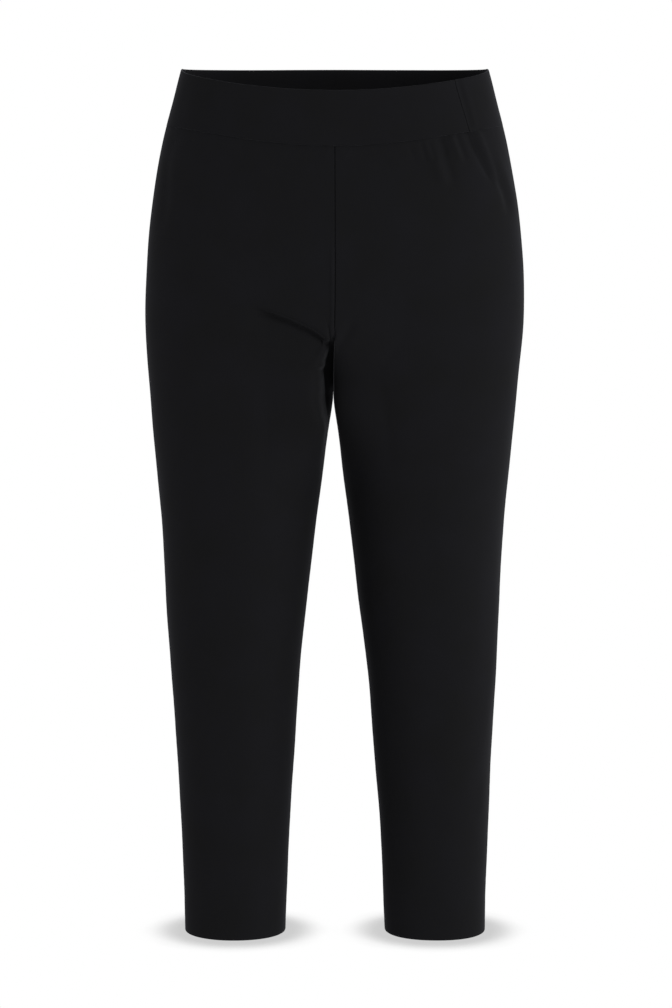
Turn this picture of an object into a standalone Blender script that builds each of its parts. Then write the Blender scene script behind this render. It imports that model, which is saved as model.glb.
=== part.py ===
"""Cropped pull-on leggings of black jersey, held open in the round with nobody in them.

Six pieces are cut and sewn: a waistband front and back, and a front and a back for each leg.
Metres, +Z up. The front faces -Y and +X is the wearer's left. The origin is in the middle of
the waist, level with half the height of the waistband at its sides.
"""

from collections import namedtuple

import bpy
import numpy as np

# ---- driving sizes ----

CLOTH_WALL = 0.0014  # one layer of jersey
BAND_WALL = 0.0030  # waistband: two layers with flat elastic between
BAND_PROUD = 0.0004  # how far the waistband stands out from the cloth below it
HEM_WALL = 0.0026  # turned-up hem, two layers
HEM_DEPTH = 0.028
SEAM_GAP = 0.0003
EDGE_ROUND = 0.0022  # height over which a folded edge rounds off
EDGE_TAPER = 0.0009  # how far each face comes in over that height

BAND_TOP = 0.031  # top edge of the waistband at the sides
BAND_FOOT = -0.0288  # its lower seam at the sides
FRONT_DIP = 0.0255  # how much lower both lie at the centre front
BACK_RISE = 0.0030  # how much higher both lie at the centre back
TOP_DIP_POWER = 0.75  # how quickly the top edge leaves the level of the sides
FOOT_DIP_POWER = 0.90
BAND_SEAM_LEFT = 0.093  # waistband side seam, how far it is drawn forward on the wearer's left
BAND_SEAM_RIGHT = -0.020  # and on the wearer's right, where it lies behind the side

CROTCH = -0.308  # where the four leg panels meet
HEM = -0.902
FRONT_RISE_START = -0.238  # where the centre front seam begins to curve under
BACK_RISE_START = -0.225
SEAM_CURVE = 0.5  # power of the crotch curve, which makes it a quarter of an ellipse
SIDE_CURVE = 1.7  # and of the softer change beside it
PINCH_WIDTH = 0.035  # how far beside the seam the cloth leaves the crotch curve
SPREAD_SLOPE = 1.3  # how much sooner and later the legs begin, per distance from the seam
SPREAD_REACH = 0.110
BODY_ROUND = 2.30  # superellipse power of the sections above the crotch, 2 is an ellipse
LEG_ROUND = 2.12

# Sections from waist to hem. outer and inner are the sides of a leg from the middle, front
# and back its reach from the side plane, sway the shift of the section towards +X, and the
# last two say how far forward of the side the seam lies, along the cloth.
Section = namedtuple(
    "Section", "height outer inner front back sway seam_left seam_right"
)
SECTIONS = [
    Section(0.045, 0.1590, 0.0000, 0.1020, 0.0950, -0.0003, 0.091, 0.066),
    Section(0.030, 0.1636, 0.0000, 0.1040, 0.0975, -0.0003, 0.091, 0.066),
    Section(0.000, 0.1714, 0.0000, 0.1075, 0.1015, -0.0003, 0.093, 0.066),
    Section(-0.030, 0.1794, 0.0000, 0.1120, 0.1070, -0.0003, 0.095, 0.066),
    Section(-0.060, 0.1861, 0.0000, 0.1155, 0.1150, -0.0002, 0.089, 0.052),
    Section(-0.100, 0.1935, 0.0000, 0.1185, 0.1280, 0.0000, 0.070, 0.051),
    Section(-0.150, 0.1996, 0.0000, 0.1180, 0.1410, 0.0001, 0.054, 0.046),
    Section(-0.200, 0.2025, 0.0000, 0.1140, 0.1480, 0.0001, 0.042, 0.037),
    Section(-0.240, 0.2029, 0.0000, 0.1095, 0.1470, -0.0005, 0.033, 0.030),
    Section(-0.275, 0.2006, 0.0000, 0.1050, 0.1390, -0.0012, 0.026, 0.024),
    Section(-0.308, 0.1976, 0.0000, 0.1010, 0.1270, -0.0017, 0.021, 0.019),
    Section(-0.350, 0.1940, 0.0052, 0.0970, 0.1130, -0.0020, 0.017, 0.015),
    Section(-0.400, 0.1895, 0.0112, 0.0935, 0.1010, -0.0022, 0.014, 0.012),
    Section(-0.470, 0.1835, 0.0203, 0.0885, 0.0890, -0.0024, 0.011, 0.010),
    Section(-0.540, 0.1802, 0.0284, 0.0830, 0.0800, -0.0024, 0.009, 0.008),
    Section(-0.620, 0.1758, 0.0375, 0.0765, 0.0750, -0.0016, 0.007, 0.007),
    Section(-0.700, 0.1710, 0.0432, 0.0690, 0.0730, -0.0008, 0.006, 0.006),
    Section(-0.780, 0.1675, 0.0493, 0.0620, 0.0680, -0.0003, 0.005, 0.005),
    Section(-0.850, 0.1648, 0.0526, 0.0575, 0.0620, 0.0000, 0.004, 0.004),
    Section(-0.902, 0.1638, 0.0546, 0.0545, 0.0590, 0.0000, 0.004, 0.004),
]

# The largest folds. Each runs through three points, given as X and Z, on the front or the
# back of the cloth. A positive depth is a trough, a negative one a ridge.
Fold = namedtuple("Fold", "face x1 z1 x2 z2 x3 z3 width depth")
FOLDS = [
    Fold("front", -0.096, -0.224, -0.046, -0.242, -0.008, -0.273, 0.012, 0.0030),
    Fold("front", -0.098, -0.205, -0.046, -0.220, -0.010, -0.246, 0.014, -0.0018),
    Fold("front", -0.110, -0.176, -0.060, -0.196, -0.016, -0.210, 0.014, 0.0010),
    Fold("front", 0.028, -0.345, 0.036, -0.500, 0.064, -0.680, 0.024, 0.0030),
    Fold("front", 0.064, -0.660, 0.072, -0.780, 0.082, -0.870, 0.022, 0.0018),
    Fold("front", 0.142, -0.040, 0.158, -0.076, 0.172, -0.108, 0.011, 0.0022),
    Fold("front", 0.108, -0.050, 0.114, -0.075, 0.122, -0.100, 0.011, -0.0014),
    Fold("back", 0.150, -0.300, 0.090, -0.330, 0.024, -0.322, 0.016, 0.0032),
    Fold("back", -0.152, -0.306, -0.088, -0.336, -0.024, -0.326, 0.016, 0.0030),
    Fold("back", 0.130, -0.350, 0.085, -0.372, 0.030, -0.366, 0.018, 0.0018),
    Fold("back", -0.132, -0.360, -0.085, -0.380, -0.034, -0.372, 0.018, 0.0016),
    Fold("back", 0.150, -0.560, 0.110, -0.574, 0.052, -0.560, 0.018, 0.0022),
    Fold("back", -0.150, -0.548, -0.106, -0.562, -0.050, -0.550, 0.018, 0.0020),
]

# Rows of quads in each piece, as heights; a leg panel first comes down from its seam.
ROWS_BELOW_BAND = 6
RISE_ROWS = [-0.165, -0.190, -0.212, -0.232, -0.250, -0.266, -0.279, -0.290, -0.299, -0.305]
THIGH_ROWS = [-0.308, -0.314, -0.324, -0.340, -0.360, -0.384, -0.412, -0.445, -0.480, -0.516]
SHIN_ROWS = [-0.552, -0.588, -0.626, -0.666, -0.708, -0.750, -0.792, -0.834]
BAND_ROWS = 3
FRONT_COLUMNS = 12
BACK_COLUMNS = 13
BAND_COLUMNS = 26

EDGE_ROUNDS = 5
TURN_SAMPLES = 241
TURN_STEP = 0.001
HEIGHT_STEP = 0.0008


# ---- the form that the cloth lies on ----


def at_height(name, height):
    """A column of the section table at any heights, on a smooth curve through its rows."""
    z = np.array([s.height for s in SECTIONS])[::-1]
    v = np.array([getattr(s, name) for s in SECTIONS])[::-1]
    slope = np.gradient(v, z)
    height = np.clip(height, z[0], z[-1])
    i = np.clip(np.searchsorted(z, height) - 1, 0, len(z) - 2)
    step = z[i + 1] - z[i]
    u = (height - z[i]) / step
    start = (1 + 2 * u) * (1 - u) ** 2 * v[i] + u * (1 - u) ** 2 * step * slope[i]
    end = u * u * (3 - 2 * u) * v[i + 1] - u * u * (1 - u) * step * slope[i + 1]
    return start + end


def bow(place, round_power):
    """Height of a superellipse arch over -1 to 1, whose middle is 1 high."""
    return np.clip(1 - np.abs(place) ** round_power, 0, 1) ** (1 / round_power)


def leg_share(height, turn, beside):
    """0 where a section is one body, 1 where it is two legs, and between them at the crotch.

    beside is the distance from the seam; further from it the change is slower and softer.
    """
    spread = np.minimum(beside, SPREAD_REACH) * SPREAD_SLOPE
    start = np.where(turn < 0.5, FRONT_RISE_START, BACK_RISE_START) + spread
    s = np.clip((start - height) / (start - CROTCH + spread), 0, 1)
    away = np.clip(beside / PINCH_WIDTH, 0, 1)
    away = away * away * (3 - 2 * away)
    return 1 - (1 - s * s) ** (SEAM_CURVE + (SIDE_CURVE - SEAM_CURVE) * away)


def ring(side, height, turn):
    """Half a section: turn is 0 at the centre front or inseam, 0.5 at the side, 1 behind."""
    outer = at_height("outer", height)
    inner = np.where(height < CROTCH, np.maximum(at_height("inner", height), 0), 0)
    inner = inner + SEAM_GAP / 2
    reach = np.where(turn < 0.5, -at_height("front", height), at_height("back", height))
    across = -np.cos(2 * np.pi * turn)
    across = np.sign(across) * np.abs(across) ** (2 / LEG_ROUND)
    x = (outer + inner) / 2 + (outer - inner) / 2 * across
    share = leg_share(height, turn, x - inner)
    bulge = bow(x / outer, BODY_ROUND) * (1 - share) + bow(across, LEG_ROUND) * share
    x = side * x + at_height("sway", height)
    return np.stack(np.broadcast_arrays(x, reach * bulge, height), axis=-1)


def along(side, height):
    """Distances along the cloth from the centre front, at evenly spaced turns."""
    turns = np.linspace(0, 1, TURN_SAMPLES)
    points = ring(side[..., None], height[..., None], turns)
    steps = np.linalg.norm(np.diff(points, axis=-2), axis=-1)
    start = np.zeros(steps.shape[:-1] + (1,))
    return turns, np.concatenate([start, np.cumsum(steps, axis=-1)], axis=-1)


def side_seam(side, height):
    """Distance from the centre front to the leg's side seam, and right round to the back."""
    _, run = along(side, height)
    forward = np.where(
        side > 0, at_height("seam_left", height), at_height("seam_right", height)
    )
    return run[..., TURN_SAMPLES // 2] - forward, run[..., -1]


def fold_depth(points, face):
    """How deep the folds press the cloth in at each point."""
    depth = np.zeros(points.shape[:-1])
    place = points[..., [0, 2]]
    t = np.linspace(0, 1, 41)[:, None]
    for fold in FOLDS:
        a = np.array([fold.x1, fold.z1])
        b = np.array([fold.x2, fold.z2])
        c = np.array([fold.x3, fold.z3])
        path = (1 - t) * (1 - 2 * t) * a + 4 * t * (1 - t) * b + t * (2 * t - 1) * c
        away = np.linalg.norm(place[..., None, :] - path, axis=-1)
        nearest = np.argmin(away, axis=-1)
        fade = np.sin(np.pi * np.clip(nearest / 40, 0.08, 0.92)) ** 0.7
        shape = np.exp(-((away.min(axis=-1) / fold.width) ** 2))
        depth += np.where(face == fold.face, fold.depth * fade * shape, 0)
    return depth


def cloth(side, distance, height, face):
    """Points on the cloth's outer face and its outward normals."""
    turns, run = along(side, height)
    k = np.clip((run <= distance[..., None]).sum(axis=-1) - 1, 0, TURN_SAMPLES - 2)
    low = np.take_along_axis(run, k[..., None], -1)[..., 0]
    high = np.take_along_axis(run, k[..., None] + 1, -1)[..., 0]
    turn = turns[k] + (turns[1] - turns[0]) * (distance - low) / (high - low)
    back_turn = np.clip(turn - TURN_STEP, 0, 1)
    next_turn = np.clip(turn + TURN_STEP, 0, 1)
    across = ring(side, height, next_turn) - ring(side, height, back_turn)
    up = ring(side, height + HEIGHT_STEP, turn) - ring(side, height - HEIGHT_STEP, turn)
    normal = np.cross(across, up) * side[..., None]
    normal /= np.linalg.norm(normal, axis=-1, keepdims=True)
    points = ring(side, height, turn)
    return points - normal * fold_depth(points, face)[..., None], normal


# ---- edges of the pieces ----

def leg_columns(side, piece):
    """Where a leg panel's columns lie at any height: share runs 0 to 1 across the panel."""

    def place(height, share):
        sides = np.full(height.shape, float(side))
        seam, around = side_seam(sides, height)
        if piece == "front":
            return sides, SEAM_GAP / 2 + (seam - SEAM_GAP) * share
        return sides, seam + SEAM_GAP / 2 + (around - seam - SEAM_GAP) * share

    return place


def band_columns(piece):
    """The same for half of the waistband, which crosses the centre front or back."""

    def place(height, share):
        half = along(np.ones(height.shape), height)[1]
        beside, around = half[..., TURN_SAMPLES // 2], half[..., -1]
        seam_left = beside - BAND_SEAM_LEFT
        seam_right = beside - BAND_SEAM_RIGHT
        if piece == "front":
            start, end = SEAM_GAP / 2 - seam_right, seam_left - SEAM_GAP / 2
            signed = start + (end - start) * share
            return np.where(signed < 0, -1.0, 1.0), np.abs(signed)
        start, end = seam_left + SEAM_GAP / 2, 2 * around - seam_right - SEAM_GAP / 2
        signed = start + (end - start) * share
        past = signed > around
        return np.where(past, -1.0, 1.0), np.where(past, 2 * around - signed, signed)

    return place


def edge_height(level, dip_power, place, share):
    """Height of a waistband edge, which dips at the centre front and rises behind."""
    height = np.full(share.shape, level)
    for _ in range(EDGE_ROUNDS):
        side, distance = place(height, share)
        _, run = along(side, height)
        seam, around = run[..., TURN_SAMPLES // 2], run[..., -1]
        ahead = np.sin(np.pi / 2 * np.clip(1 - distance / seam, 0, 1))
        behind = np.sin(np.pi / 2 * np.clip((distance - seam) / (around - seam), 0, 1))
        dip, rise = FRONT_DIP * ahead ** (2 * dip_power), BACK_RISE * behind ** (2 * dip_power)
        height = level - dip + rise
    return height


# ---- the pieces ----


def material(name, colour, roughness):
    made = bpy.data.materials.new(name)
    made.use_nodes = True
    shader = made.node_tree.nodes["Principled BSDF"]
    shader.inputs["Base Color"].default_value = (*colour, 1)
    shader.inputs["Roughness"].default_value = roughness
    return made


def add_wall(name, outer, inner, cloth_material):
    """One closed piece of cloth between two grids of points, rows running downwards."""
    rows, columns = outer.shape[:2]
    size = rows * columns
    grid = np.arange(size).reshape(rows, columns)
    faces = []
    for r in range(rows - 1):
        for c in range(columns - 1):
            quad = [grid[r, c], grid[r + 1, c], grid[r + 1, c + 1], grid[r, c + 1]]
            faces.append(quad)
            faces.append([corner + size for corner in reversed(quad)])
    border = [grid[0, c] for c in range(columns)]
    border += [grid[r, -1] for r in range(1, rows)]
    border += [grid[-1, c] for c in range(columns - 2, -1, -1)]
    border += [grid[r, 0] for r in range(rows - 2, 0, -1)]
    for here, ahead in zip(border, border[1:] + border[:1]):
        faces.append([here, ahead, ahead + size, here + size])
    mesh = bpy.data.meshes.new(name)
    points = np.concatenate([outer.reshape(-1, 3), inner.reshape(-1, 3)])
    mesh.from_pydata(points.tolist(), [], [[int(i) for i in face] for face in faces])
    mesh.shade_smooth()
    mesh.materials.append(cloth_material)
    bpy.context.scene.collection.objects.link(bpy.data.objects.new(name, mesh))


def add_piece(name, place, share, rows, piece, cloth_material):
    """A piece from its rows, each a height, how far it stands proud, and how deep it goes."""
    outer, inner = [], []
    for height, proud, depth in rows:
        side, distance = place(height, share)
        points, normals = cloth(side, distance, height, piece)
        outer.append(points + normals * proud)
        inner.append(points - normals * depth)
    add_wall(name, np.array(outer), np.array(inner), cloth_material)


def add_leg_panel(name, side, piece, columns, cloth_material):
    """A front or a back of one leg, from the waistband seam over the hip to the hem."""
    share = np.linspace(0, 1, columns + 1)
    if side < 0:
        share = share[::-1]
    place = leg_columns(side, piece)
    top = edge_height(BAND_FOOT, FOOT_DIP_POWER, place, share) - SEAM_GAP / 2
    rows = []
    for k in range(ROWS_BELOW_BAND):
        down = k / ROWS_BELOW_BAND
        rows.append((top * (1 - down) + RISE_ROWS[0] * down, 0, CLOTH_WALL))
    hem_top = HEM + HEM_DEPTH
    for level in RISE_ROWS + THIGH_ROWS + SHIN_ROWS + [hem_top + EDGE_ROUND]:
        rows.append((np.full(share.shape, level), 0, CLOTH_WALL))
    rows.append((np.full(share.shape, hem_top), 0, HEM_WALL))
    rows.append((np.full(share.shape, HEM + EDGE_ROUND), 0, HEM_WALL))
    rows.append((np.full(share.shape, HEM), -EDGE_TAPER, HEM_WALL - EDGE_TAPER))
    add_piece(name, place, share, rows, piece, cloth_material)


def add_band(name, piece, cloth_material):
    """Half of the waistband, a folded loop of jersey with flat elastic inside."""
    share = np.linspace(0, 1, BAND_COLUMNS + 1)
    place = band_columns(piece)
    top = edge_height(BAND_TOP, TOP_DIP_POWER, place, share)
    foot = edge_height(BAND_FOOT, FOOT_DIP_POWER, place, share) + SEAM_GAP / 2
    proud, depth = BAND_PROUD, BAND_WALL - BAND_PROUD
    rows = [(top, proud - EDGE_TAPER, depth - EDGE_TAPER)]
    for k in range(BAND_ROWS + 1):
        down = k / BAND_ROWS
        rows.append(((top - EDGE_ROUND) * (1 - down) + foot * down, proud, depth))
    add_piece(name, place, share, rows, piece, cloth_material)


for item in list(bpy.data.objects):
    bpy.data.objects.remove(item, do_unlink=True)

BLACK = (0.0100, 0.0100, 0.0112)
jersey = material("black_jersey", BLACK, 0.72)
band_jersey = material("black_band_jersey", BLACK, 0.70)

add_band("waistband_front", "front", band_jersey)
add_band("waistband_back", "back", band_jersey)
add_leg_panel("leg_front_left", 1, "front", FRONT_COLUMNS, jersey)
add_leg_panel("leg_front_right", -1, "front", FRONT_COLUMNS, jersey)
add_leg_panel("leg_back_left", 1, "back", BACK_COLUMNS, jersey)
add_leg_panel("leg_back_right", -1, "back", BACK_COLUMNS, jersey)
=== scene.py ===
"""Cropped black jersey leggings, pulled on and filled out, with nobody in them."""

from collections import namedtuple
from functools import lru_cache
from math import cos, pi, radians, sin

import bpy
import numpy as np
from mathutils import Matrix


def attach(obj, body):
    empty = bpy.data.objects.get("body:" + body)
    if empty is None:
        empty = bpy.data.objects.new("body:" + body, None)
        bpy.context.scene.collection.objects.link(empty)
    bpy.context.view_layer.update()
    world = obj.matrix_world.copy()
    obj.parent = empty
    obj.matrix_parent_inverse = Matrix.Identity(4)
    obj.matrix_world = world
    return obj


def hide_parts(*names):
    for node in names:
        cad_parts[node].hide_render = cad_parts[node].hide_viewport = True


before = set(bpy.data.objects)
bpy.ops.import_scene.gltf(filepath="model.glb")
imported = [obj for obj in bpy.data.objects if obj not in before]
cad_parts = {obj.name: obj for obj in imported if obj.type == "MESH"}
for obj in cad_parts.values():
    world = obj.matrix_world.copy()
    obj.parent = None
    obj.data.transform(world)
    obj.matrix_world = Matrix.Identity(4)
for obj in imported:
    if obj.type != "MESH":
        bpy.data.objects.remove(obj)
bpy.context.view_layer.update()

# ---------------------------------------------------------------------------------------
# Fronts and backs of the two legs: four panels of double-knit jersey, each cut with a
# curved rise and a tapering leg. They are sewn right sides together, so every seam rolls
# in to a narrow groove, and their hems are turned up and blind stitched.
# ---------------------------------------------------------------------------------------

CLOTH_WALL = 0.0013
HEM_WALL = 0.0026
HEM_DEPTH = 0.028
HEM_STEP = 0.004  # height over which the turned-up layer ends
# the gap between two sewn edges, and the radius over which each turns in
SEAM_GAP, SEAM_ROLL = 0.0003, 0.0006
SIDE_GAP, SIDE_ROLL = 0.00005, 0.00018
WAIST_GAP, WAIST_ROLL = 0.0001, 0.0003
WAIST_SINK, SINK_REACH = 0.0007, 0.0025  # how far the legs sink just below the waist seam

# The waist seam dips in front and rises behind. The higher the power, the nearer to the
# centre it does so.
BAND_FOOT = -0.0292
FOOT_DIP = 0.0235
FOOT_DIP_POWER = 2.00
BACK_RISE = 0.0030

# From the start of the rise down to the crotch, the body's section turns into those of two
# legs. Away from the centre seam that takes more height, by the spread. Beside the seam it
# goes more slowly, by the curves' powers and within the widths of the pinch.
CROTCH = -0.308
HEM = -0.902
FRONT_RISE_START = -0.238
BACK_RISE_START = -0.225
SEAM_CURVE = 0.5
SIDE_CURVE = 1.7
FRONT_PINCH, PINCH_WIDTH = 0.005, 0.035
SPREAD_SLOPE = 1.3
SPREAD_REACH = 0.110
BODY_ROUND = 2.30
LEG_ROUND = 2.12

# Just below the crotch the legs' inner edges are pushed together and part softly, and the
# gap at their seams all but closes.
CLOSING = 0.00025
CLOSED_FOOT = -0.350
PARTING = 0.0004
SEAM_CLOSES = -0.285
CLOSED_SHARE = 0.95

# Beside the crotch the right front is drawn into a tuck, and the left one hangs over it. A
# lip is the width over which a front turns in there, less by a share where the tuck is
# closed, and a foot is where something ends. The left front also falls back to its edge.
TUCK_TOP, TUCK_FOOT = -0.247, -0.354
TUCK_WIDTH = 0.0062
TUCK_PULL = 0.30  # how much the fronts are drawn in round it
LEFT_LIP, RIGHT_LIP, CLOSED_LIP = 0.0002, 0.0042, 0.35
LIP_FOOT = -0.420
OVERHANG, OVERHANG_FOOT, OVERHANG_WIDTH = 0.0008, -0.312, 0.006
LEFT_TURNS = [(0.20, 0.040), (0.05, 0.0045)]  # by such shares, over such widths

# outer and inner are the sides of a leg from the middle, front and back its reach from the
# side plane, sway its shift to the wearer's left, and the last two say how far forward of
# the side each leg's side seam lies.
Section = namedtuple(
    "Section", "height outer inner front back sway seam_left seam_right"
)
SECTIONS = [
    Section(0.045, 0.1590, 0.0000, 0.1020, 0.0950, -0.0003, 0.091, 0.066),
    Section(0.030, 0.1636, 0.0000, 0.1040, 0.0975, -0.0003, 0.091, 0.066),
    Section(0.000, 0.1714, 0.0000, 0.1075, 0.1015, -0.0003, 0.093, 0.066),
    Section(-0.030, 0.1794, 0.0000, 0.1120, 0.1070, -0.0003, 0.095, 0.066),
    Section(-0.060, 0.1861, 0.0000, 0.1155, 0.1150, -0.0002, 0.089, 0.052),
    Section(-0.100, 0.1935, 0.0000, 0.1185, 0.1280, 0.0000, 0.070, 0.051),
    Section(-0.150, 0.1996, 0.0000, 0.1180, 0.1410, 0.0001, 0.054, 0.046),
    Section(-0.200, 0.2025, 0.0000, 0.1140, 0.1480, 0.0001, 0.042, 0.037),
    Section(-0.240, 0.2029, 0.0000, 0.1095, 0.1470, -0.0005, 0.033, 0.030),
    Section(-0.275, 0.2006, 0.0000, 0.1050, 0.1390, -0.0012, 0.026, 0.024),
    Section(-0.308, 0.1976, 0.0000, 0.1010, 0.1270, -0.0017, 0.021, 0.019),
    Section(-0.350, 0.1940, 0.0052, 0.0970, 0.1130, -0.0020, 0.017, 0.015),
    Section(-0.400, 0.1895, 0.0112, 0.0935, 0.1010, -0.0022, 0.014, 0.012),
    Section(-0.470, 0.1835, 0.0203, 0.0885, 0.0890, -0.0024, 0.011, 0.010),
    Section(-0.540, 0.1802, 0.0284, 0.0830, 0.0800, -0.0024, 0.009, 0.008),
    Section(-0.620, 0.1758, 0.0375, 0.0765, 0.0750, -0.0016, 0.007, 0.007),
    Section(-0.700, 0.1710, 0.0432, 0.0690, 0.0730, -0.0008, 0.006, 0.006),
    Section(-0.780, 0.1675, 0.0493, 0.0620, 0.0680, -0.0003, 0.005, 0.005),
    Section(-0.850, 0.1648, 0.0526, 0.0575, 0.0620, 0.0000, 0.004, 0.004),
    Section(-0.902, 0.1638, 0.0546, 0.0545, 0.0590, 0.0000, 0.004, 0.004),
]

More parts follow.
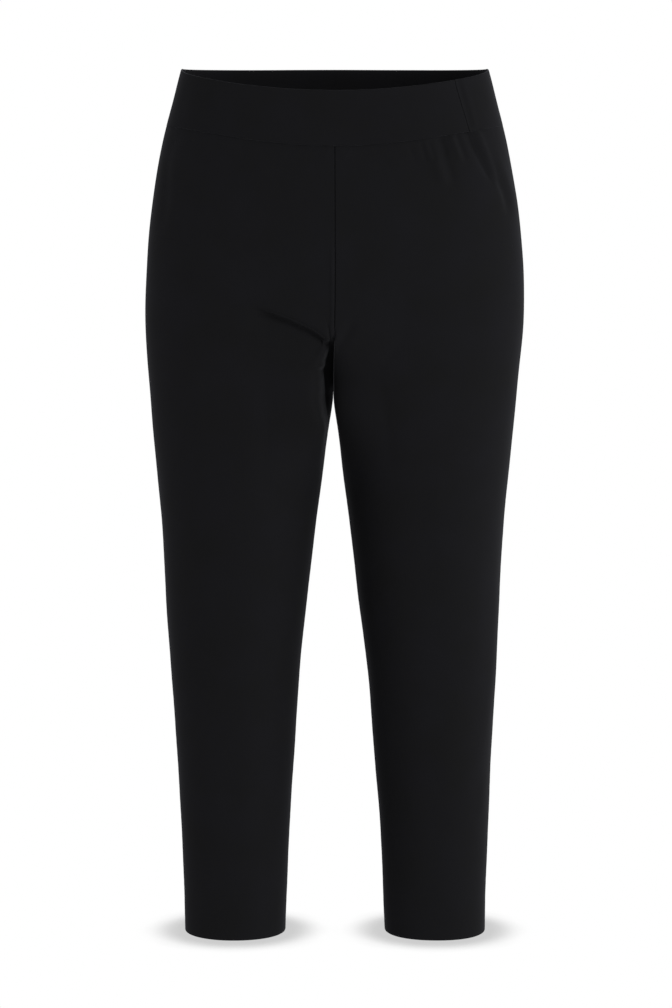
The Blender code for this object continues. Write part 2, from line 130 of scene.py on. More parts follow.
# Folds and creases, each along a path of X and Z on the front or the back. Depth presses
# the cloth in and a negative one lifts it; lip is the swell beside it, above or to the
# left of its path; start and end say how strong it is there, from 0 to 1; fold is how far
# the cloth on that side hangs over the other; and tail is the share of its path over which
# it fades.
Crease = namedtuple(
    "Crease", "face path width depth lip start end fold tail", defaults=(0, 0.35)
)
CREASES = [
    # drag fold from the right thigh down into the crotch, and the broad trough above it
    Crease("front", [(-0.0960, -0.2155), (-0.0724, -0.2220), (-0.0575, -0.2270),
                     (-0.0438, -0.2320), (-0.0335, -0.2370), (-0.0229, -0.2420),
                     (-0.0150, -0.2475), (-0.0085, -0.2530), (-0.0015, -0.2590)],
           0.0031, 0.0031, 0, 0, 0, 0.0046, 0.10),
    Crease("front", [(-0.108, -0.174), (-0.088, -0.184), (-0.043, -0.195),
                     (-0.016, -0.207)],
           0.011, 0.0014, 0, 0, 0),
    # its faint partner on the left thigh, and a small pleat at the top of the inseam
    Crease("front", [(0.004, -0.262), (0.0105, -0.251), (0.0175, -0.237),
                     (0.0243, -0.230)],
           0.0055, 0.0016, 0, 1, 0),
    Crease("front", [(-0.036, -0.281), (-0.022, -0.2800), (-0.013, -0.2800)],
           0.0024, -0.0014, 0, 0, 1),
    Crease("front", [(-0.040, -0.288), (-0.022, -0.287), (-0.011, -0.287)],
           0.0032, 0.0010, 0, 0, 1),
    # edge of the seam allowance, which lies to the right under the front seam
    Crease("front", [(-0.0034, -0.140), (-0.0032, -0.190), (-0.0034, -0.252)],
           0.0017, -0.0011, 0, 0, 0.6),
    # hollow down the inside of the left leg
    Crease("front", [(0.020, -0.345), (0.024, -0.392), (0.026, -0.424), (0.030, -0.489),
                     (0.040, -0.532), (0.050, -0.596)],
           0.0130, 0.0017, 0, 0, 0.3),
    Crease("front", [(0.050, -0.590), (0.056, -0.639), (0.062, -0.704), (0.066, -0.771),
                     (0.071, -0.850)],
           0.0150, 0.0014, 0, 0.3, 0),
    # folds that run out of the waist seam on the left hip, beside the side seam
    Crease("front", [(0.136, -0.034), (0.144, -0.052), (0.152, -0.065), (0.160, -0.079),
                     (0.169, -0.096)],
           0.0046, 0.0027, 0.0012, 0.6, 0),
    Crease("front", [(0.156, -0.052), (0.1665, -0.072), (0.174, -0.089), (0.182, -0.108),
                     (0.183, -0.134)],
           0.0044, 0.0022, 0.0006, 0.2, 0),
    Crease("front", [(0.1500, -0.040), (0.1560, -0.056), (0.1640, -0.074), (0.1740, -0.094)],
           0.0034, -0.0012, 0, 0.7, 0),
    Crease("front", [(0.0985, -0.050), (0.108, -0.078), (0.1165, -0.100)],
           0.0066, -0.0021, 0, 0.4, 0),
    Crease("front", [(0.1075, -0.047), (0.117, -0.072), (0.126, -0.096)],
           0.0054, 0.0017, 0, 0.7, 0),
    Crease("front", [(0.1105, -0.046), (0.114, -0.055), (0.117, -0.066)],
           0.0034, 0.0013, 0, 1, 0),
    Crease("front", [(0.121, -0.045), (0.1265, -0.058), (0.132, -0.072)],
           0.0034, -0.0014, 0, 1, 0),
    Crease("front", [(0.1275, -0.043), (0.132, -0.054), (0.137, -0.068)],
           0.0032, 0.0012, 0, 1, 0),
    Crease("front", [(0.098, -0.050), (0.101, -0.059), (0.104, -0.070)],
           0.0034, 0.0013, 0, 1, 0),
    Crease("front", [(0.090, -0.052), (0.0925, -0.060), (0.095, -0.070)],
           0.0030, 0.0008, 0.0002, 1, 0),
    Crease("front", [(0.078, -0.054), (0.081, -0.062), (0.085, -0.070)],
           0.0034, 0.0006, 0, 1, 0),
    # and a few faint ones elsewhere along it
    Crease("front", [(-0.095, -0.050), (-0.0955, -0.057), (-0.092, -0.066)],
           0.0034, 0.0007, 0, 1, 0),
    Crease("front", [(-0.124, -0.046), (-0.121, -0.056), (-0.116, -0.064)],
           0.0036, 0.0006, 0, 1, 0),
    Crease("front", [(-0.036, -0.0655), (-0.024, -0.067), (-0.014, -0.070)],
           0.0032, 0.0005, 0, 0, 0),
    Crease("front", [(-0.006, -0.0555), (-0.009, -0.060), (-0.014, -0.065)],
           0.0040, -0.0006, 0, 1, 0),
    Crease("front", [(0.005, -0.0555), (0.009, -0.060), (0.014, -0.066)],
           0.0040, -0.0006, 0, 1, 0),
    Crease("front", [(0.044, -0.058), (0.050, -0.066), (0.060, -0.072)],
           0.0045, 0.0006, 0, 0.6, 0),
    # hollow that the right side seam leaves over the hip
    Crease("front", [(-0.1693, -0.047), (-0.1760, -0.062), (-0.1778, -0.088),
                     (-0.1789, -0.112), (-0.184, -0.150)],
           0.0055, 0.0011, 0, 0.7, 0),
    # soft edge where the left leg turns to its side at the calf
    Crease("front", [(0.173, -0.469), (0.172, -0.579), (0.167, -0.643),
                     (0.160, -0.685), (0.152, -0.711)],
           0.0060, -0.0009, 0, 0, 0),
    Crease("front", [(0.160, -0.720), (0.159, -0.745), (0.157, -0.775)],
           0.0050, -0.0006, 0, 0, 0),
    # under the seat, and behind the knees
    Crease("back", [(0.150, -0.300), (0.090, -0.330), (0.024, -0.322)],
           0.016, 0.0032, 0, 0, 0),
    Crease("back", [(-0.152, -0.306), (-0.088, -0.336), (-0.024, -0.326)],
           0.016, 0.0030, 0, 0, 0),
    Crease("back", [(0.130, -0.350), (0.085, -0.372), (0.030, -0.366)],
           0.018, 0.0018, 0, 0, 0),
    Crease("back", [(-0.132, -0.360), (-0.085, -0.380), (-0.034, -0.372)],
           0.018, 0.0016, 0, 0, 0),
    Crease("back", [(0.150, -0.560), (0.110, -0.574), (0.052, -0.560)],
           0.018, 0.0022, 0, 0, 0),
    Crease("back", [(-0.150, -0.548), (-0.106, -0.562), (-0.050, -0.550)],
           0.018, 0.0020, 0, 0, 0),
    Crease("back", [(0.118, -0.318), (0.080, -0.327), (0.036, -0.319)],
           0.0050, 0.0012, 0.0004, 0, 0.3),
    Crease("back", [(-0.110, -0.325), (-0.072, -0.333), (-0.030, -0.322)],
           0.0050, 0.0011, 0.0004, 0, 0.3),
    Crease("back", [(0.134, -0.575), (0.100, -0.584), (0.066, -0.578)],
           0.0060, 0.0010, 0.0004, 0, 0),
    Crease("back", [(-0.138, -0.562), (-0.104, -0.572), (-0.068, -0.566)],
           0.0060, 0.0009, 0.0004, 0, 0),
    # puckers out of the waist seam behind
    Crease("back", [(0.158, -0.030), (0.152, -0.052), (0.146, -0.080)],
           0.0050, 0.0008, 0.0003, 0.9, 0),
    Crease("back", [(-0.150, -0.030), (-0.145, -0.050), (-0.138, -0.074)],
           0.0050, 0.0008, 0.0003, 0.9, 0),
    Crease("back", [(0.104, -0.028), (0.101, -0.044), (0.096, -0.064)],
           0.0040, 0.0006, 0.0002, 0.9, 0),
    Crease("back", [(-0.092, -0.028), (-0.089, -0.042), (-0.084, -0.058)],
           0.0040, 0.0006, 0.0002, 0.9, 0),
    Crease("back", [(0.040, -0.027), (0.036, -0.044), (0.028, -0.066)],
           0.0045, 0.0006, 0.0002, 0.9, 0),
    Crease("back", [(-0.034, -0.027), (-0.029, -0.042), (-0.022, -0.060)],
           0.0045, 0.0006, 0.0002, 0.9, 0),
]

# Across a crease, in widths to the left of its path: where the lip stands, and under a
# hanging fold where the trough lies and how far right the cloth is set back. The fold's
# soft edge swells by a share of it, at such a place and so wide.
LIP_PLACE = 1.9
TROUGH_PLACE, UNDER_REACH = -1.3, 15
SWELL, SWELL_PLACE, SWELL_WIDTH = 0.3, 2.6, 2.2
CREASE_REACH = 4
FADE_IN = 0.35  # share of a path over which a crease sets in
FACING = 0.2  # creases fade where the cloth faces less to the front or the back than this
PATH_POINTS = 61

TURN_SAMPLES = 241
TURN_STEP, HEIGHT_STEP = 0.001, 0.0008  # to the points that give the cloth's direction


@lru_cache(maxsize=None)
def section_curve(name):
    """A column of the section table, and how much a natural spline through it bends."""
    z = np.array([s.height for s in SECTIONS])[::-1]
    v = np.array([getattr(s, name) for s in SECTIONS])[::-1]
    step = np.diff(z)
    joins = np.eye(len(z))
    pull = np.zeros(len(z))
    for k in range(1, len(z) - 1):
        joins[k, k - 1 : k + 2] = step[k - 1], 2 * (step[k - 1] + step[k]), step[k]
        pull[k] = 6 * ((v[k + 1] - v[k]) / step[k] - (v[k] - v[k - 1]) / step[k - 1])
    return z, v, np.linalg.solve(joins, pull)


def at_height(name, height):
    """A column of the section table at any heights, on a smooth curve through its rows."""
    z, v, bend = section_curve(name)
    height = np.clip(height, z[0], z[-1])
    i = np.clip(np.searchsorted(z, height) - 1, 0, len(z) - 2)
    step = z[i + 1] - z[i]
    b = (height - z[i]) / step
    a = 1 - b
    sag = ((a ** 3 - a) * bend[i] + (b ** 3 - b) * bend[i + 1]) * step * step / 6
    return a * v[i] + b * v[i + 1] + sag


def smooth(value):
    """0 below 0, 1 above 1, and an even slope between that starts and ends level."""
    value = np.clip(value, 0, 1)
    return value * value * (3 - 2 * value)


def below(height, top, reach):
    """0 above a height, and 1 from its reach below it down."""
    return smooth((top - height) / reach)


def above(height, foot, reach):
    """0 below a height, and 1 from its reach above it up."""
    return smooth((height - foot) / reach)


def bow(place, round_power):
    """Height of a superellipse arch over -1 to 1, whose middle is 1 high."""
    return np.clip(1 - np.abs(place) ** round_power, 0, 1) ** (1 / round_power)


def leg_share(height, turn, beside):
    """How far a section has become two legs, from 0 to 1, beside the middle of the body."""
    spread = np.minimum(beside, SPREAD_REACH) * SPREAD_SLOPE
    start = np.where(turn < 0.5, FRONT_RISE_START, BACK_RISE_START) + spread
    s = np.clip((start - height) / (start - CROTCH + spread), 0, 1)
    away = smooth(beside / PINCH_WIDTH)
    eased = np.where(turn < 0.5, 1 - np.exp(-beside / FRONT_PINCH), away)
    share = 1 - (1 - s * s) ** (SEAM_CURVE + (SIDE_CURVE - SEAM_CURVE) * eased)
    tucked = TUCK_PULL * below(height, TUCK_TOP, 0.024) * (1 - away) * (turn < 0.5)
    return share + (1 - share) * tucked


def front_lip(side, height, beside):
    """How full the fronts stand beside the crotch, and down to where they do: the left one
    from its seam, the right one from the tuck beside the seam, which the left one hides."""
    tuck = below(height, TUCK_TOP, 0.044) * above(height, TUCK_FOOT, 0.040)
    start = np.where(side > 0, 0, TUCK_WIDTH * tuck)
    right_lip = RIGHT_LIP * (CLOSED_LIP + (1 - CLOSED_LIP) * tuck)
    rise = 1 - np.exp(-np.clip(beside - start, 0, None) / np.where(side > 0, LEFT_LIP, right_lip))
    turned = sum(amount * np.exp(-beside / width) for amount, width in LEFT_TURNS)
    rise = rise * (1 - turned * below(height, TUCK_TOP, 0.050) * (side > 0))
    return rise, above(height, LIP_FOOT, 0.100)


def ring(side, height, turn):
    """Half a section: turn is 0 at the centre front or inseam, 0.5 at the side, 1 behind."""
    outer = at_height("outer", height)
    # below 0 above the crotch, so that the legs' inner edges part softly
    parted = np.where(height < CROTCH, at_height("inner", height), 0.1 * (CROTCH - height))
    closed = above(height, CLOSED_FOOT, 0.030)
    inner = PARTING * np.logaddexp(0, (parted - CLOSING * closed) / PARTING - 1)
    gap = SEAM_GAP * (1 - CLOSED_SHARE * closed * below(height, SEAM_CLOSES, 0.010))
    inner = inner + gap / 2
    reach = np.where(turn < 0.5, -at_height("front", height), at_height("back", height))
    across = -np.cos(2 * pi * turn)
    across = np.sign(across) * np.abs(across) ** (2 / LEG_ROUND)
    x = (outer + inner) / 2 + (outer - inner) / 2 * across
    share = leg_share(height, turn, x - inner)
    bulge = bow(x / outer, BODY_ROUND) * (1 - share) + bow(across, LEG_ROUND) * share
    rise, full = front_lip(side, height, x - inner)
    full = np.where(turn < 0.5, full, 0)
    bulge = bulge + full * np.maximum(rise * bow(x / outer, BODY_ROUND) - bulge, 0)
    hung = below(height, TUCK_TOP, 0.012) * above(height, OVERHANG_FOOT, 0.030)
    hung = hung * (side > 0) * (turn < 0.5)
    x = x - OVERHANG * hung * rise * np.exp(-(x - inner) / OVERHANG_WIDTH)
    x = side * x + at_height("sway", height)
    return np.stack(np.broadcast_arrays(x, reach * bulge, height), axis=-1)


def along(side, height):
    """Distances along the cloth from the centre front, at evenly spaced turns."""
    turns = np.linspace(0, 1, TURN_SAMPLES)
    if np.ptp(height) == 0 and np.ptp(side) == 0:  # a level row needs only one section
        height, side = height[:1], side[:1]
    points = ring(side[..., None], height[..., None], turns)
    steps = np.linalg.norm(np.diff(points, axis=-2), axis=-1)
    start = np.zeros(steps.shape[:-1] + (1,))
    return turns, np.concatenate([start, np.cumsum(steps, axis=-1)], axis=-1)


def rounded(path):
    """Points along a path whose corners are cut three times over."""
    path = np.array(path)
    for _ in range(3):
        ahead = path[:-1] * 0.75 + path[1:] * 0.25
        behind = path[:-1] * 0.25 + path[1:] * 0.75
        middle = np.stack([ahead, behind], axis=1).reshape(-1, 2)[1:-1]
        path = np.concatenate([path[:1], middle, path[-1:]])
    run = np.r_[0, np.cumsum(np.linalg.norm(np.diff(path, axis=0), axis=1))]
    even = np.linspace(0, run[-1], PATH_POINTS)
    return np.stack([np.interp(even, run, path[:, k]) for k in (0, 1)], axis=1)


def crease_depth(points, face):
    """How deep the folds and creases press the cloth in at each point."""
    depth = np.zeros(points.shape[:-1])
    for crease in CREASES:
        if crease.face != face:
            continue
        path = rounded(crease.path)
        reach = (UNDER_REACH if crease.fold else CREASE_REACH) * crease.width
        near = np.all((points[..., [0, 2]] > path.min(axis=0) - reach)
                      & (points[..., [0, 2]] < path.max(axis=0) + reach), axis=-1)
        if not near.any():
            continue
        offsets = points[near][:, None, [0, 2]] - path
        away = np.linalg.norm(offsets, axis=-1)
        nearest = np.argmin(away, axis=-1)
        offset = np.take_along_axis(offsets, nearest[:, None, None], 1)[:, 0]
        along_path = np.gradient(path, axis=0)[nearest]
        to_left = along_path[:, 0] * offset[:, 1] - along_path[:, 1] * offset[:, 0]
        beside = np.sign(to_left) * away.min(axis=-1) / crease.width
        t = nearest / (len(path) - 1)
        strength = crease.start + (1 - crease.start) * smooth(t / FADE_IN)
        strength *= crease.end + (1 - crease.end) * smooth((1 - t) / crease.tail)
        trough = beside - (TROUGH_PLACE if crease.fold else 0)
        shape = crease.depth * np.exp(-(trough ** 2))
        shape -= crease.lip * np.exp(-((beside - LIP_PLACE) ** 2))
        if crease.fold:  # it ends at the centre seam
            under = smooth((1 - beside) / 2)
            under = under * smooth((beside + UNDER_REACH) / (UNDER_REACH - 1))
            swell = SWELL * np.exp(-(((beside - SWELL_PLACE) / SWELL_WIDTH) ** 2))
            shape += crease.fold * (under - swell)
            shape *= smooth(-points[near][:, 0] / 0.004)
        depth[near] += strength * shape
    return depth


def unevenness(points):
    """The slight sag and swell that cloth has everywhere, a few tenths of a millimetre."""
    x, y, z = np.moveaxis(points, -1, 0)
    a = np.sin(41 * x + 17 * z + 1.3) * np.sin(23 * z - 11 * x + 31 * y + 0.4)
    b = np.sin(67 * x - 37 * z + 2.1) * np.sin(53 * z + 29 * x - 19 * y + 4.0)
    return 0.00030 * a + 0.00016 * b


def seam_pucker(run, beside):
    """Fine ripples of 0.1 mm that sewing leaves beside a seam, along its run."""
    ripple = np.sin(run * 520 + 2 * np.sin(run * 90)) * np.sin(run * 173 + 1)
    return 0.00010 * ripple * np.exp(-((beside / 0.006) ** 2))


def turned_in(beside, roll):
    """Depth of a sewn edge that rolls in as a quarter of a circle."""
    gap = np.clip(roll - beside, 0, roll)
    return roll - np.sqrt(roll * roll - gap * gap)


def cloth(side, distance, height, part=""):
    """Points on the cloth's outer face, its outward normals, and its direction up, at
    distances along it from the centre front."""
    turns, run = along(side, height)
    k = np.clip((run <= distance[..., None]).sum(axis=-1) - 1, 0, TURN_SAMPLES - 2)
    run = np.broadcast_to(run, k.shape + run.shape[-1:])
    low = np.take_along_axis(run, k[..., None], -1)[..., 0]
    high = np.take_along_axis(run, k[..., None] + 1, -1)[..., 0]
    turn = turns[k] + (turns[1] - turns[0]) * (distance - low) / (high - low)
    back_turn = np.clip(turn - TURN_STEP, 0, 1)
    next_turn = np.clip(turn + TURN_STEP, 0, 1)
    across = ring(side, height, next_turn) - ring(side, height, back_turn)
    up = ring(side, height + HEIGHT_STEP, turn) - ring(side, height - HEIGHT_STEP, turn)
    normal = np.cross(across, up) * side[..., None]
    normal /= np.linalg.norm(normal, axis=-1, keepdims=True)
    up /= np.linalg.norm(up, axis=-1, keepdims=True)
    points = ring(side, height, turn)
    depth = np.where(normal[..., 1] < 0, crease_depth(points, part + "front"),
                     crease_depth(points, part + "back"))
    depth = depth * smooth(np.abs(normal[..., 1]) / FACING) + unevenness(points)
    return points - normal * depth[..., None], normal, up


def edge_height(level, front_dip, dip_power, place, columns):
    """Height of a waistband edge, which dips at the centre front and rises behind."""
    height = np.full(columns.shape, level)
    for _ in range(5):  # as a column's distance depends on its height
        side, distance = place(height, columns)[:2]
        _, run = along(side, height)
        seam, around = run[..., TURN_SAMPLES // 2], run[..., -1]
        ahead = np.sin(pi / 2 * np.clip(1 - distance / seam, 0, 1))
        behind = np.sin(pi / 2 * np.clip((distance - seam) / (around - seam), 0, 1))
        height = level - front_dip * ahead ** dip_power + BACK_RISE * behind ** dip_power
    return height


def spaced(start, end, step):
    """Values from start to end, about a step apart, without the end itself."""
    count = max(1, round(abs(end - start) / step))
    return [start + (end - start) * k / count for k in range(count)]


# distances of rows and columns from a sewn edge, closer where it rolls in
EDGE_STEPS = [0, 0.00008, 0.0003, 0.0006, 0.0010, 0.0016, 0.0026, 0.0040]
EDGES = len(EDGE_STEPS) - 1


def panel_columns(zones):
    """Places of a piece's columns, whose whole numbers are the lines that they keep to: the
    steps at its edges, and those between the zones, each of which holds so many columns."""
    places = list(range(EDGES))
    for k, count in enumerate(zones):
        places += [EDGES + k + j / count for j in range(count)]
    return np.array(places + [len(zones) + EDGES + k for k in range(EDGES + 1)])


def spread(columns, wide, lines):
    """Distances of the columns across a piece so wide, with such lines between its zones."""
    lines = [*EDGE_STEPS, *lines, *[wide - step for step in reversed(EDGE_STEPS)]]
    lines = np.stack([line + 0 * columns for line in lines])
    low = np.clip(columns.astype(int), 0, len(lines) - 2)
    each = np.arange(len(columns))
    return lines[low, each] * (low + 1 - columns) + lines[low + 1, each] * (columns - low)


def wall_mesh(name, walls, cloth_material):
    """A piece of cloth from closed walls. Each is rows of points that go down its outer face
    and up its inner face, rounding an edge between them, with the same rows on the flat."""
    points, flat, faces = [], [], []
    for rings, flat_rows in walls:
        rows, columns = len(rings), len(rings[0])
        grid = sum(len(p) for p in points) + np.arange(rows * columns).reshape(rows, columns)
        ahead = np.roll(grid, -1, axis=0)
        quads = np.stack([grid[:, :-1], ahead[:, :-1], ahead[:, 1:], grid[:, 1:]], axis=-1)
        faces.append(quads.reshape(-1, 4))
        for column, turned in ((0, False), (columns - 1, True)):
            line = grid[:, column]
            i = np.arange(rows // 2 - 1)
            cap = np.stack([line[i], line[-1 - i], line[-2 - i], line[i + 1]], axis=-1)
            faces.append(cap[:, ::-1] if turned else cap)
        points.append(np.array(rings).reshape(-1, 3))
        flat.append(np.array(flat_rows).reshape(-1, 2))
    mesh = bpy.data.meshes.new(name)
    mesh.from_pydata(np.concatenate(points).tolist(), [], np.concatenate(faces).tolist())
    layer = mesh.uv_layers.new(name="cloth")
    corners = np.empty(len(mesh.loops), dtype=np.int32)
    mesh.loops.foreach_get("vertex_index", corners)
    layer.data.foreach_set("uv", np.concatenate(flat)[corners].ravel())
    mesh.shade_smooth()
    mesh.materials.append(cloth_material)
    piece = bpy.data.objects.new(name, mesh)
    bpy.context.scene.collection.objects.link(piece)
    return piece


def srgb(code):
    """A hex colour as linear red, green, blue and 1."""
    values = [int(code[k : k + 2], 16) / 255 for k in (1, 3, 5)]
    return (*[v / 12.92 if v <= 0.04045 else ((v + 0.055) / 1.055) ** 2.4 for v in values], 1)


def node(tree, kind, links=None, **settings):
    """Adds a node, gives it settings by name or by socket, and links its inputs."""
    made = tree.nodes.new(kind)
    for key, value in settings.items():
        setattr(made, key, value)
    for socket, value in (links or {}).items():
        if isinstance(value, bpy.types.NodeSocket):
            tree.links.new(value, made.inputs[socket])
        else:
            made.inputs[socket].default_value = value
    return made


def knit(name, dark, light, wale, course, relief, sheen, roughness):
    """Black double-knit jersey: viscose and elastane spun fine and knitted close, so it is
    matt and nearly even, with fine upright wales and a soft bloom where it turns away."""
    made = bpy.data.materials.new(name)
    made.use_nodes = True
    tree = made.node_tree
    shader = tree.nodes["Principled BSDF"]
    on_cloth = node(tree, "ShaderNodeUVMap", uv_map="cloth").outputs["UV"]
    split = node(tree, "ShaderNodeSeparateXYZ", {0: on_cloth})
    in_space = node(tree, "ShaderNodeTexCoord").outputs["Object"]

    def wave(axis, pitch, offset=0.0):
        turns = node(tree, "ShaderNodeMath", {0: split.outputs[axis], 1: 2 * pi / pitch,
                                              2: offset}, operation="MULTIPLY_ADD")
        return node(tree, "ShaderNodeMath", {0: turns.outputs[0]}, operation="SINE").outputs[0]

    # the wales stand out most, then the courses and the loose fibre
    wales = wave(0, wale)
    courses = wave(1, course)
    loops = node(tree, "ShaderNodeMath", {0: courses, 1: 0.45, 2: wales},
                 operation="MULTIPLY_ADD").outputs[0]
    fibre = node(tree, "ShaderNodeTexNoise", {"Vector": in_space, "Scale": 900.0, "Detail": 2.0})
    mottle = node(tree, "ShaderNodeTexNoise", {"Vector": in_space, "Scale": 22.0, "Detail": 3.0})
    relief_sum = node(tree, "ShaderNodeMath", {0: fibre.outputs[0], 1: 0.9, 2: loops},
                      operation="MULTIPLY_ADD").outputs[0]
    bump = node(tree, "ShaderNodeBump", {"Height": relief_sum, "Strength": 1.0,
                                         "Distance": relief})
    tone = node(tree, "ShaderNodeMapRange", {"Value": mottle.outputs[0], "From Min": 0.3,
                                             "From Max": 0.7})
    colour = node(tree, "ShaderNodeMix", {0: tone.outputs[0], 6: srgb(dark), 7: srgb(light)},
                  data_type="RGBA")
    for socket, value in (("Roughness", roughness), ("Specular IOR Level", 0.0),
                          ("Sheen Weight", sheen), ("Sheen Roughness", 0.30),
                          ("Sheen Tint", srgb("#F4F6FF"))):
        shader.inputs[socket].default_value = value
    tree.links.new(colour.outputs[2], shader.inputs["Base Color"])
    tree.links.new(bump.outputs[0], shader.inputs["Normal"])
    return made


# The real wales, its upright ribs, are about 0.8 mm apart, and the courses, its level rows
# of loops, a little less. Both are too fine to show at this size, so they are drawn twice
# as wide.
WALE = 0.0016
COURSE = 0.0013
leg_jersey = knit("leg_double_knit_jersey", "#161617", "#171719", WALE, COURSE, 0.00002,
                  0.08, 0.85)

HEM_TOP = HEM + HEM_DEPTH + HEM_STEP
# the heights down to which rows of points lie so far apart, from the waist seam to the hem
LEG_ROWS = [(-0.130, 0.0019), (-0.200, 0.0030), (-0.302, 0.0019), (-0.316, 0.0012),
            (-0.345, 0.0024), (HEM_TOP, 0.0040)]
HEM_SPACING = 0.0035
FOLD_STEPS, FOLD_RUN = 6, 0.0004  # rows round the hem's fold, and cloth from row to row

# lines that a panel's columns keep to, so many samples from the centre or the inseam, or so
# far from the side seam, and how many columns each zone between them has
LIP_LINE, NEAR_LINE, FAR_LINE = 5, 18, 38
LIP_ZONE = 0.0012  # least width of the zone at the lip
HIP_LINE = 0.065
ZONES = {"front": [14, 14, 26, 32, 44], "back": [104, 22, 16]}

LEG_PUCKER = 0.6  # how much of the seams' pucker shows
body = "root"  # the one body, which all the pieces ride on


def side_seam(side, run, height):
    """How far along the cloth a leg's side seam lies."""
    forward = at_height("seam_left" if side > 0 else "seam_right", height)
    return run[..., TURN_SAMPLES // 2] - forward


def leg_columns(side, panel):
    """Where a leg panel's columns lie at any heights: on which leg, how far along the cloth,
    how near a sewn edge and of which roll, and how far from the side seam."""

    def place(height, columns):
        sides = np.full(height.shape, float(side))
        _, run = along(sides, height)
        seam = side_seam(side, run, height)
        if panel == "front":
            start, wide = SEAM_GAP / 2, seam - SIDE_GAP / 2 - SEAM_GAP / 2
            lip = np.maximum(run[..., LIP_LINE], EDGE_STEPS[-1] + LIP_ZONE)
            lines = [lip, run[..., NEAR_LINE], run[..., FAR_LINE], wide - HIP_LINE]
        else:
            start = seam + SIDE_GAP / 2
            wide = run[..., -1] - SEAM_GAP / 2 - start
            lines = [run[..., -1 - FAR_LINE] - start, run[..., -1 - NEAR_LINE] - start]
        across = spread(columns, wide, lines)
        at_side = (across > wide / 2) == (panel == "front")
        beside = np.minimum(across, wide - across)
        from_side = across - wide if panel == "front" else across
        roll = np.where(at_side, SIDE_ROLL, SEAM_ROLL)
        return sides, start + across, beside, roll, from_side

    return place


# distances of the seam allowances' columns from their seam, and where the allowances begin
# and end
ALLOWANCE = [-0.0040, -0.0024, -0.0012, -0.0004, 0.0004, 0.0012, 0.0024, 0.0050]
ALLOWANCE_WALL = 0.0009
ALLOWANCE_SPACING = 0.0030
ALLOWANCE_DROP = 0.002
CENTRE_ENDS = {"front": TUCK_TOP + 0.002, "back": CROTCH + 0.004}
INSEAM_TOP = CROTCH - 0.022
ALLOWANCE_FOOT = HEM + HEM_DEPTH + 0.006


def seam_allowance(side, seam, top, bottom):
    """A seam's cut edges, overlocked together and pressed flat inside, behind the seam."""
    height = np.array(spaced(bottom, top, ALLOWANCE_SPACING) + [top])
    if (side < 0) != (seam == "centre back"):  # so that its outer face looks out
        height = height[::-1]
    outer, inner, flat = [], [], []
    for beside in ALLOWANCE:
        crossed = beside < 0 and seam.startswith("centre")  # it lies on the other leg
        legs = np.full(height.shape, float(-side if crossed else side))
        _, run = along(legs, height)
        if seam == "side":
            distance = side_seam(side, run, height) + beside
        elif seam == "centre back" or (seam == "inseam" and beside < 0):
            distance = run[..., -1] - abs(beside)
        else:
            distance = np.full(height.shape, abs(beside))
        points, normals, _ = cloth(legs, distance, height)
        depth = turned_in(abs(beside), SEAM_ROLL) + CLOTH_WALL + SEAM_GAP
        outer.append(points - normals * depth)
        inner.append(points - normals * (depth + ALLOWANCE_WALL))
        flat.append(np.stack([distance, height], axis=-1))
    return outer + inner[::-1], flat + flat[::-1]


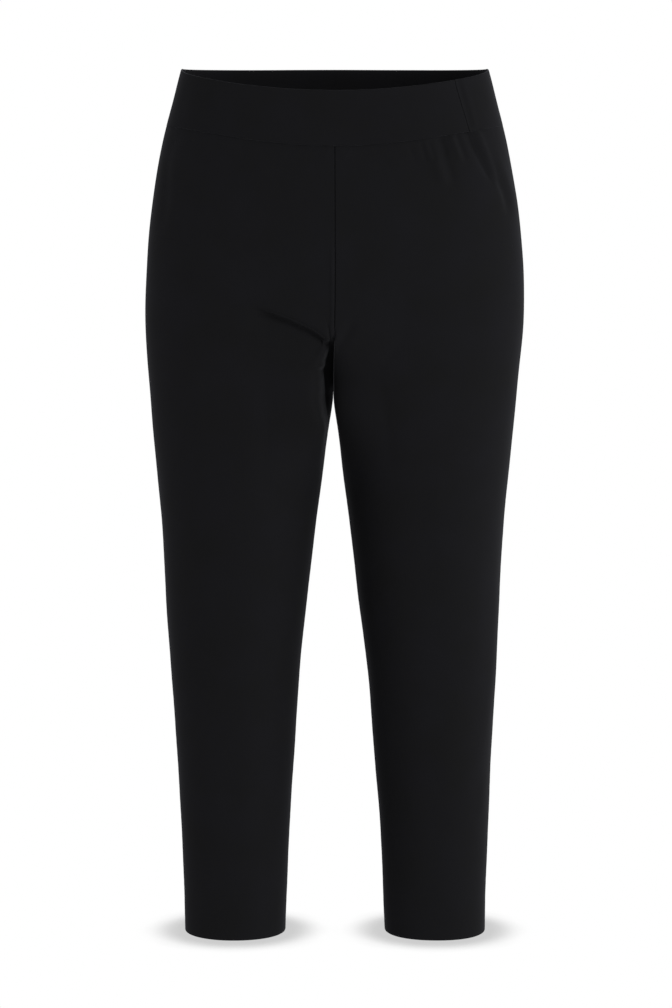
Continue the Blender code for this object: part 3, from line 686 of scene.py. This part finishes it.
def leg_panel(name, side, panel):
    """One panel of a leg, from the waist seam over the hip to the turned-up hem."""
    place = leg_columns(side, panel)
    columns = panel_columns(ZONES[panel])
    if side < 0:
        columns = columns[::-1]
    top = edge_height(BAND_FOOT, FOOT_DIP, FOOT_DIP_POWER, place, columns) - WAIST_GAP / 2
    rows = [(top - drop, CLOTH_WALL) for drop in EDGE_STEPS]
    # first they follow the waist seam and level out, then they are level down to the hem
    start, level = top - EDGE_STEPS[-1], LEG_ROWS[0][0]
    for down in spaced(0, 1, LEG_ROWS[0][1] / abs(level - BAND_FOOT))[1:]:
        rows.append((start * (1 - down) + level * down, CLOTH_WALL))
    for (begin, _), (finish, spacing) in zip(LEG_ROWS, LEG_ROWS[1:]):
        for z in spaced(begin, finish, spacing):
            rows.append((np.full(columns.shape, z), CLOTH_WALL))
    for down in (0, 0.25, 0.5, 0.75):
        wall = CLOTH_WALL + (HEM_WALL - CLOTH_WALL) * smooth(down)
        rows.append((np.full(columns.shape, HEM_TOP - HEM_STEP * down), wall))
    for z in spaced(HEM + HEM_DEPTH, HEM + HEM_WALL / 2, HEM_SPACING):
        rows.append((np.full(columns.shape, z), HEM_WALL))
    outer, inner, uv = [], [], []
    for height, wall in rows:
        from_top = top - height
        sides, distance, beside, roll, from_side = place(height, columns)
        points, normals, _ = cloth(sides, distance, height)
        depth = turned_in(beside, roll) + turned_in(from_top, WAIST_ROLL)
        sink = WAIST_SINK * np.abs(normals[..., 1])
        depth = depth + sink * np.exp(-((from_top / SINK_REACH) ** 2))
        depth = depth + LEG_PUCKER * seam_pucker(height, beside)
        depth = depth + LEG_PUCKER * seam_pucker(distance, from_top)
        outer.append(points - normals * depth[..., None])
        inner.append(points - normals * (depth + wall)[..., None])
        uv.append(np.stack([from_side, height], axis=-1))
    # the hem folds under and back up inside
    radius = HEM_WALL / 2
    height = np.full(columns.shape, HEM + radius)
    sides, distance, beside, roll, from_side = place(height, columns)
    points, normals, up = cloth(sides, distance, height)
    sunk = turned_in(beside, roll)[..., None]
    fold, uv_fold = [], []
    for k in range(FOLD_STEPS):
        angle = pi * k / (FOLD_STEPS - 1)
        across, down = radius * (1 - cos(angle)), radius * sin(angle)
        fold.append(points - normals * (sunk + across) - up * down)
        uv_fold.append(np.stack([from_side, height - FOLD_RUN * k], axis=-1))
    walls = [(outer + fold + inner[::-1], uv + uv_fold + uv[::-1])]
    # the left leg has the centre seams' allowances, and each front those of its other seams
    centre, hip = top[0] - ALLOWANCE_DROP, top[-1] - ALLOWANCE_DROP
    if (side > 0) != (panel == "front"):
        centre, hip = hip, centre
    if side > 0:
        walls.append(seam_allowance(side, "centre " + panel, centre, CENTRE_ENDS[panel]))
    if panel == "front":
        walls.append(seam_allowance(side, "side", hip, ALLOWANCE_FOOT))
        walls.append(seam_allowance(side, "inseam", INSEAM_TOP, ALLOWANCE_FOOT))
    piece = wall_mesh(name, walls, leg_jersey)
    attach(piece, body)
    return piece


for side, wearer in ((1, "left"), (-1, "right")):
    for panel, size, area in (("front", (0.320, 0.911), 0.220),
                              ("back", (0.398, 0.911), 0.264)):
        piece = leg_panel(f"{panel}_of_{wearer}_leg", side, panel)
        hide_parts(f"leg_{panel}_{wearer}")

# ---------------------------------------------------------------------------------------
# Waistband: a wide loop of the same jersey folded double over flat elastic, in a front and
# a back. Its fold makes the round top edge, and its lower edges are sewn to the legs.
# ---------------------------------------------------------------------------------------

BAND_WALL = 0.0030
BAND_TOP = 0.0316
TOP_DIP = 0.0269
TOP_DIP_POWER = 1.16
BAND_SEAM_LEFT, BAND_SEAM_RIGHT = 0.093, -0.020  # how far forward of the side its seams lie
BAND_PROUD = 0.0001  # how far it stands out from the legs
BAND_BEAD, BEAD_REACH = 0.0009, 0.0036  # how far its folded edge stands out, and how deep
BAND_ROLL, FOOT_ROLL = 0.0007, 0.0002
BAND_PUCKER = 0.4
BAND_COLUMNS = {"front": 168, "back": 204}
BAND_ROWS = 22
BAND_FOLD_STEPS, BAND_FOLD_RUN = 10, 0.0005

band_jersey = knit("band_double_knit_jersey", "#161617", "#171719", WALE, COURSE, 0.000015,
                   0.08, 0.85)

# shallow creases where the band bends round the left hip, and fainter ones elsewhere
CREASES += [
    Crease("band_front", [(0.1255, 0.026), (0.1330, 0.000), (0.1412, -0.030)],
           0.0026, 0.0008, 0, 0.8, 1),
    Crease("band_front", [(0.1305, 0.022), (0.1375, 0.000), (0.1462, -0.030)],
           0.0024, -0.0006, 0, 0.4, 1),
    Crease("band_front", [(-0.150, 0.018), (-0.158, 0.000), (-0.163, -0.020)],
           0.0050, 0.0003, 0, 0, 0),
    Crease("band_back", [(0.090, 0.020), (0.086, 0.004), (0.084, -0.014)],
           0.0060, 0.0003, 0, 0, 0),
    Crease("band_back", [(-0.070, 0.022), (-0.072, 0.006), (-0.068, -0.012)],
           0.0060, 0.0003, 0, 0, 0),
]


def band_columns(panel):
    """Where the columns of half the waistband lie at any heights: on which side of the body,
    how far along the cloth from the centre front, and how near a side seam."""

    def place(height, columns):
        half = along(np.ones(height.shape), height)[1]
        beside, around = half[..., TURN_SAMPLES // 2], half[..., -1]
        seam_left = beside - BAND_SEAM_LEFT
        seam_right = beside - BAND_SEAM_RIGHT
        if panel == "front":
            start, end = SEAM_GAP / 2 - seam_right, seam_left - SEAM_GAP / 2
        else:
            start, end = seam_left + SEAM_GAP / 2, 2 * around - seam_right - SEAM_GAP / 2
        wide = end - start
        across = spread(columns, wide, [])
        signed = start + across
        edge = np.minimum(across, wide - across)
        if panel == "front":
            return np.where(signed < 0, -1.0, 1.0), np.abs(signed), edge
        past = signed > around
        return np.where(past, -1.0, 1.0), np.where(past, 2 * around - signed, signed), edge

    return place


def band_half(name, panel):
    """The front or back of the waistband, from its folded top edge down to the waist seam."""
    place = band_columns(panel)
    columns = panel_columns([BAND_COLUMNS[panel]])
    top = edge_height(BAND_TOP, TOP_DIP, TOP_DIP_POWER, place, columns)
    foot = edge_height(BAND_FOOT, FOOT_DIP, FOOT_DIP_POWER, place, columns) + WAIST_GAP / 2
    radius = BAND_WALL / 2
    start, end = top - radius, foot + EDGE_STEPS[-1]
    far = 1  # too far from the waist seam to roll in or pucker
    rows = [(start * (1 - k / BAND_ROWS) + end * k / BAND_ROWS, far) for k in range(BAND_ROWS)]
    rows += [(foot + step, step) for step in reversed(EDGE_STEPS)]
    outer, inner, uv = [], [], []
    for height, from_foot in rows:
        sides, distance, beside = place(height, columns)
        points, normals, _ = cloth(sides, distance, height, "band_")
        sunk = turned_in(beside, BAND_ROLL) + turned_in(from_foot, FOOT_ROLL) - BAND_PROUD
        bead = BAND_BEAD * np.abs(normals[..., 1])
        sunk = sunk - bead * np.exp(-(((top - height) / BEAD_REACH) ** 2))
        sunk = sunk + BAND_PUCKER * seam_pucker(height, beside)
        sunk = sunk + BAND_PUCKER * seam_pucker(distance, from_foot)
        outer.append(points - normals * sunk[..., None])
        inner.append(points - normals * (sunk + BAND_WALL)[..., None])
        uv.append(np.stack([distance * sides, height], axis=-1))
    # the fold, from the inner face over the top to the outer face
    height = start
    sides, distance, beside = place(height, columns)
    points, normals, up = cloth(sides, distance, height, "band_")
    bead = BAND_BEAD * np.abs(normals[..., 1])
    sunk = (turned_in(beside, BAND_ROLL) - BAND_PROUD - bead)[..., None]
    fold, uv_fold = [], []
    for k in range(1, BAND_FOLD_STEPS + 1):
        angle = pi * (1 - k / (BAND_FOLD_STEPS + 1))
        across, rise = radius * (1 - cos(angle)), radius * sin(angle)
        fold.append(points - normals * (sunk + across) + up * rise)
        uv_fold.append(np.stack([distance * sides, height + BAND_FOLD_RUN * k], axis=-1))
    piece = wall_mesh(name, [(inner[::-1] + fold + outer, uv[::-1] + uv_fold + uv)],
                      band_jersey)
    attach(piece, body)
    return piece


for panel, width in (("front", 0.407), ("back", 0.493)):
    piece = band_half(f"{panel}_of_waistband", panel)
    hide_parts(f"waistband_{panel}")

# ---------------------------------------------------------------------------------------
# Studio: a round floor of white acrylic, lit through from below and with a painted shadow round
# the hems, in a room of white paper.
# Two tall softboxes stand to the wearer's left and two to the right.
# ---------------------------------------------------------------------------------------

FLOOR_LEVEL = HEM - 0.0008

bpy.ops.object.select_all(action="DESELECT")
bpy.ops.mesh.primitive_circle_add(vertices=96, radius=40, fill_type="NGON",
                                  location=(0, 0, FLOOR_LEVEL))
floor = bpy.context.object
floor.name = "studio_floor"
bpy.ops.object.transform_apply(location=True, rotation=True, scale=True)
# so its light is even and white to the eye, with only a painted shadow close to the hems
acrylic = bpy.data.materials.new("lit_white_acrylic_with_painted_hem_shadow")
acrylic.use_nodes = True
tree = acrylic.node_tree
tree.nodes.clear()
# painted shadow: the floor's glow is dimmed where the cloth stands close, not by any light that
# the cloth blocks
openness = node(tree, "ShaderNodeAmbientOcclusion", {"Distance": 0.060}, samples=16)
painted_hem_shadow = node(tree, "ShaderNodeMapRange", {"Value": openness.outputs["AO"], "From Min": 0.665,
                                          "From Max": 0.965, "To Min": 0.61},
             interpolation_type="SMOOTHSTEP")
lit = node(tree, "ShaderNodeEmission", {"Color": (1, 1, 1, 1), "Strength": painted_hem_shadow.outputs[0]})
node(tree, "ShaderNodeOutputMaterial", {"Surface": lit.outputs[0]})
floor.data.materials.append(acrylic)
# it doesn't light the cloth, which the room's glow does from below
floor.visible_diffuse = floor.visible_glossy = floor.visible_shadow = False

world = bpy.data.worlds.new("white_studio")
world.use_nodes = True
tree = world.node_tree
room = tree.nodes["Background"]
# the room glows all round: most from the wearer's left, then from below and the front
towards = node(tree, "ShaderNodeTexCoord").outputs["Generated"]
glow = 0.22
for way, strength in (((1, 0, 0), 1.65), ((-1, 0, 0), 0.35), ((0, -1, 0), 0.50),
                      ((0, 0, -1), 0.837), ((0, 1, 0), 0.25)):
    facing = node(tree, "ShaderNodeVectorMath", {0: towards, 1: way},
                  operation="DOT_PRODUCT").outputs["Value"]
    facing = node(tree, "ShaderNodeMath", {0: facing, 1: 0.0}, operation="MAXIMUM").outputs[0]
    facing = node(tree, "ShaderNodeMath", {0: facing, 1: facing},
                  operation="MULTIPLY").outputs[0]
    glow = node(tree, "ShaderNodeMath", {0: facing, 1: strength, 2: glow},
                operation="MULTIPLY_ADD").outputs[0]
# and its paper is plain white to the eye
seen = node(tree, "ShaderNodeLightPath").outputs["Is Camera Ray"]
both = node(tree, "ShaderNodeMix", {0: seen, 2: glow, 3: 1.0}, data_type="FLOAT")
tree.links.new(both.outputs[0], room.inputs["Strength"])
room.inputs["Color"].default_value = (1, 1, 1, 1)
bpy.context.scene.world = world
bpy.context.scene.view_settings.view_transform = "Standard"


def soft_light(name, place, aim, width, height, power):
    """An upright softbox that faces its aim, and is out of the camera's sight."""
    lamp = bpy.data.lights.new(name, "AREA")
    lamp.shape, lamp.size, lamp.size_y, lamp.energy = "RECTANGLE", width, height, power
    holder = bpy.data.objects.new(name, lamp)
    bpy.context.scene.collection.objects.link(holder)
    holder.location = place
    away = np.array(place) - np.array(aim)
    turn = np.arctan2(away[0], -away[1])
    tilt = np.arctan2(np.hypot(away[0], away[1]), away[2])
    holder.rotation_euler = (tilt, 0, turn)
    holder.visible_camera = False


MIDDLE = (0, 0, -0.4)  # of the leggings, about

for name, place, power in (("front_left_softbox", (2.6, -2.2, 0.6), 47),
                           ("back_left_softbox", (2.6, 1.6, 0.3), 35),
                           ("right_softbox", (-3.3, -0.4, 0.2), 49),
                           ("back_right_softbox", (-2.6, 1.6, 0.3), 10)):
    soft_light(name, place, MIDDLE, width=1.4, height=2.0, power=power)

TILT_DOWN = 5.5612  # degrees

camera = bpy.data.cameras.new("camera")
camera.sensor_fit = "VERTICAL"
camera.sensor_height = 36
camera.lens = 107.98
camera.clip_end = 200
viewer = bpy.data.objects.new("camera", camera)
bpy.context.scene.collection.objects.link(viewer)
viewer.location = (0.00108, -3.25, -0.118)
viewer.rotation_euler = (radians(90 - TILT_DOWN), 0, 0)
bpy.context.scene.camera = viewer
